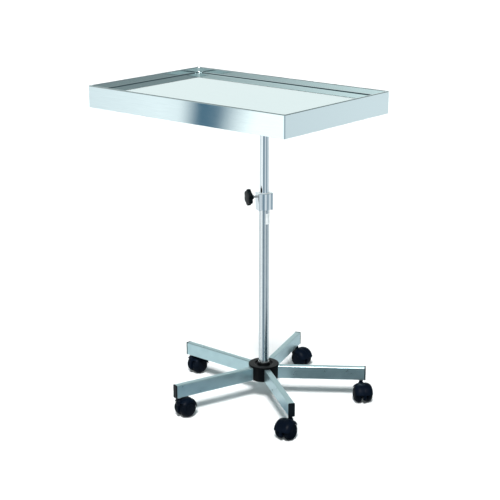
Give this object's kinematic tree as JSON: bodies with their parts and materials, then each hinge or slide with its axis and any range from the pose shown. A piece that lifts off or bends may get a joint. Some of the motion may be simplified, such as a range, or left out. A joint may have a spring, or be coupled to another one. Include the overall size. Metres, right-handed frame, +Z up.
{
  "type": "instrument cart",
  "caption": "Rectangular steel tray on a height-adjustable swivelling mast with a clamp knob, over a five-arm base on twin-wheel casters.",
  "frame": {"origin": "on the floor, below the middle of the cart's footprint", "axes": "+Z up; +X along the tray's long side, towards the end where the mast stands; +Y across the tray"},
  "size_m": [0.6233, 0.4931, 0.765],
  "materials": {
    "tray_steel": "fine brushed stainless sheet",
    "under_frame_steel": "mill finish stainless",
    "fastener_steel": "zinc plated",
    "mast_chrome": "polished",
    "mast_satin_steel": "satin ground tube",
    "clamp_metal": "polished",
    "ferrule_chrome": "polished",
    "bush_plastic": "moulded, natural grey",
    "pad_brass": "turned",
    "stud_steel": "turned",
    "knob_plastic": "moulded, fine texture",
    "label_film": "blank printed film",
    "hub_plastic": "moulded, fine texture",
    "end_cap_plastic": "moulded",
    "arm_coating": "satin powder coat, grey green",
    "caster_steel": "turned",
    "caster_hood_plastic": "moulded nylon",
    "caster_wheel_plastic": "moulded nylon"
  },
  "bodies": {
    "base": {"lower_tube": "mast_satin_steel", "blank_label": "label_film", "foot_ferrule": "ferrule_chrome", "tube_insert": "fastener_steel", "column_bolt": "fastener_steel", "hub_core": "hub_plastic", "hub_cover": "hub_plastic", "hub_base_plate": "hub_plastic", "arm_screws": "fastener_steel", "guide_bush": "bush_plastic", "clamp_block": "clamp_metal", "clamp_set_screw": "fastener_steel", "arm_1": "arm_coating", "arm_1_end_cap": "end_cap_plastic", "caster_1_stem": "caster_steel", "arm_2": "arm_coating", "arm_2_end_cap": "end_cap_plastic", "caster_2_stem": "caster_steel", "arm_3": "arm_coating", "arm_3_end_cap": "end_cap_plastic", "caster_3_stem": "caster_steel", "arm_4": "arm_coating", "arm_4_end_cap": "end_cap_plastic", "caster_4_stem": "caster_steel", "arm_5": "arm_coating", "arm_5_end_cap": "end_cap_plastic", "caster_5_stem": "caster_steel"},
    "mast_glide": {"glide_plug": "bush_plastic"},
    "tray": {"tray_pan": "tray_steel", "tray_rail_front": "under_frame_steel", "tray_rail_rear": "under_frame_steel", "mast_plate": "under_frame_steel", "plate_screws": "fastener_steel", "mast_socket": "under_frame_steel", "socket_screw": "fastener_steel", "upper_tube": "mast_chrome"},
    "clamp_pad": {"pressure_pad": "pad_brass"},
    "clamp_knob": {"knob_stud": "stud_steel", "knob_grip": "knob_plastic"},
    "caster_1": {"caster_1_hood": "caster_hood_plastic", "caster_1_axle": "caster_steel"},
    "caster_1_left": {"caster_1_wheel_left": "caster_wheel_plastic"},
    "caster_1_right": {"caster_1_wheel_right": "caster_wheel_plastic"},
    "caster_2": {"caster_2_hood": "caster_hood_plastic", "caster_2_axle": "caster_steel"},
    "caster_2_left": {"caster_2_wheel_left": "caster_wheel_plastic"},
    "caster_2_right": {"caster_2_wheel_right": "caster_wheel_plastic"},
    "caster_3": {"caster_3_hood": "caster_hood_plastic", "caster_3_axle": "caster_steel"},
    "caster_3_left": {"caster_3_wheel_left": "caster_wheel_plastic"},
    "caster_3_right": {"caster_3_wheel_right": "caster_wheel_plastic"},
    "caster_4": {"caster_4_hood": "caster_hood_plastic", "caster_4_axle": "caster_steel"},
    "caster_4_left": {"caster_4_wheel_left": "caster_wheel_plastic"},
    "caster_4_right": {"caster_4_wheel_right": "caster_wheel_plastic"},
    "caster_5": {"caster_5_hood": "caster_hood_plastic", "caster_5_axle": "caster_steel"},
    "caster_5_left": {"caster_5_wheel_left": "caster_wheel_plastic"},
    "caster_5_right": {"caster_5_wheel_right": "caster_wheel_plastic"}
  },
  "joints": [
    {"name": "mast_height", "type": "slide", "parent": "base", "child": "mast_glide", "axis": [0, 0, 1], "range_m": [-0.15, 0.18]},
    {"name": "tray_swivel", "type": "hinge", "parent": "mast_glide", "child": "tray", "pos_m": [0.073, -0.0046, 0.25], "axis": [0, 0, 1], "continuous": true},
    {"name": "clamp_pad_travel", "type": "slide", "parent": "base", "child": "clamp_pad", "axis": [-0.5, -0.866, 0], "range_m": [0, 0.002]},
    {"name": "clamp_knob_turn", "type": "hinge", "parent": "clamp_pad", "child": "clamp_knob", "pos_m": [0.053, -0.03924, 0.5155], "axis": [-0.5, -0.866, 0], "range_deg": [0, 720]},
    {"name": "caster_1_swivel", "type": "hinge", "parent": "base", "child": "caster_1", "pos_m": [0.26797, 0.13706, 0.04], "axis": [0, 0, 1], "continuous": true},
    {"name": "caster_1_left_spin", "type": "hinge", "parent": "caster_1", "child": "caster_1_left", "pos_m": [0.28176, 0.12549, 0.0218], "axis": [0.6428, 0.766, 0], "continuous": true},
    {"name": "caster_1_right_spin", "type": "hinge", "parent": "caster_1", "child": "caster_1_right", "pos_m": [0.28176, 0.12549, 0.0218], "axis": [0.6428, 0.766, 0], "continuous": true},
    {"name": "caster_2_swivel", "type": "hinge", "parent": "base", "child": "caster_2", "pos_m": [-0.00147, 0.2246, 0.04], "axis": [0, 0, 1], "continuous": true},
    {"name": "caster_2_left_spin", "type": "hinge", "parent": "caster_2", "child": "caster_2_left", "pos_m": [0.01646, 0.22304, 0.0218], "axis": [0.0872, 0.9962, 0], "continuous": true},
    {"name": "caster_2_right_spin", "type": "hinge", "parent": "caster_2", "child": "caster_2_right", "pos_m": [0.01646, 0.22304, 0.0218], "axis": [0.0872, 0.9962, 0], "continuous": true},
    {"name": "caster_3_swivel", "type": "hinge", "parent": "base", "child": "caster_3", "pos_m": [-0.168, -0.0046, 0.04], "axis": [0, 0, 1], "continuous": true},
    {"name": "caster_3_left_spin", "type": "hinge", "parent": "caster_3", "child": "caster_3_left", "pos_m": [-0.16426, 0.01301, 0.0218], "axis": [-0.9781, 0.2079, 0], "continuous": true},
    {"name": "caster_3_right_spin", "type": "hinge", "parent": "caster_3", "child": "caster_3_right", "pos_m": [-0.16426, 0.01301, 0.0218], "axis": [-0.9781, 0.2079, 0], "continuous": true},
    {"name": "caster_4_swivel", "type": "hinge", "parent": "base", "child": "caster_4", "pos_m": [-0.00147, -0.23381, 0.04], "axis": [0, 0, 1], "continuous": true},
    {"name": "caster_4_left_spin", "type": "hinge", "parent": "caster_4", "child": "caster_4_left", "pos_m": [0.00165, -0.21608, 0.0218], "axis": [-0.9848, 0.1736, 0], "continuous": true},
    {"name": "caster_4_right_spin", "type": "hinge", "parent": "caster_4", "child": "caster_4_right", "pos_m": [0.00165, -0.21608, 0.0218], "axis": [-0.9848, 0.1736, 0], "continuous": true},
    {"name": "caster_5_swivel", "type": "hinge", "parent": "base", "child": "caster_5", "pos_m": [0.26797, -0.14626, 0.04], "axis": [0, 0, 1], "continuous": true},
    {"name": "caster_5_left_spin", "type": "hinge", "parent": "caster_5", "child": "caster_5_left", "pos_m": [0.26954, -0.16419, 0.0218], "axis": [0.9962, 0.0872, 0], "continuous": true},
    {"name": "caster_5_right_spin", "type": "hinge", "parent": "caster_5", "child": "caster_5_right", "pos_m": [0.26954, -0.16419, 0.0218], "axis": [0.9962, 0.0872, 0], "continuous": true}
  ],
  "couplings": [
    {"joint": "clamp_pad_travel", "follows": "clamp_knob_turn", "m_per_rad": 0.00015915}
  ]
}
